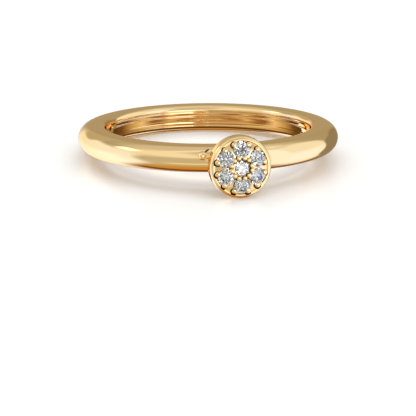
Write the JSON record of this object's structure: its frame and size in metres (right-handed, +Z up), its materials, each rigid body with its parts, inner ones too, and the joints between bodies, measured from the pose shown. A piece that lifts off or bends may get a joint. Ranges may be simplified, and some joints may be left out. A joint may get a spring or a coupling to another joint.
{
  "type": "stackable ring",
  "caption": "Finger ring for stacking: a polished half-round band with flat sides and a small round disc of pave-set brilliants at the front.",
  "frame": {"origin": "middle of the underside of the ring's box, on the surface that it rests on", "axes": "+Z up, close to the finger's axis; the disc faces -Y; +X to the right of someone who looks at the disc"},
  "size_m": [0.022, 0.0236, 0.0052],
  "materials": {
    "gold": "polished yellow gold",
    "diamond": "cut and polished, clear"
  },
  "bodies": {
    "root": {"band_and_setting": "gold", "centre_stone": "diamond", "outer_stone_1": "diamond", "outer_stone_2": "diamond", "outer_stone_3": "diamond", "outer_stone_4": "diamond", "outer_stone_5": "diamond", "outer_stone_6": "diamond"}
  },
  "joints": []
}
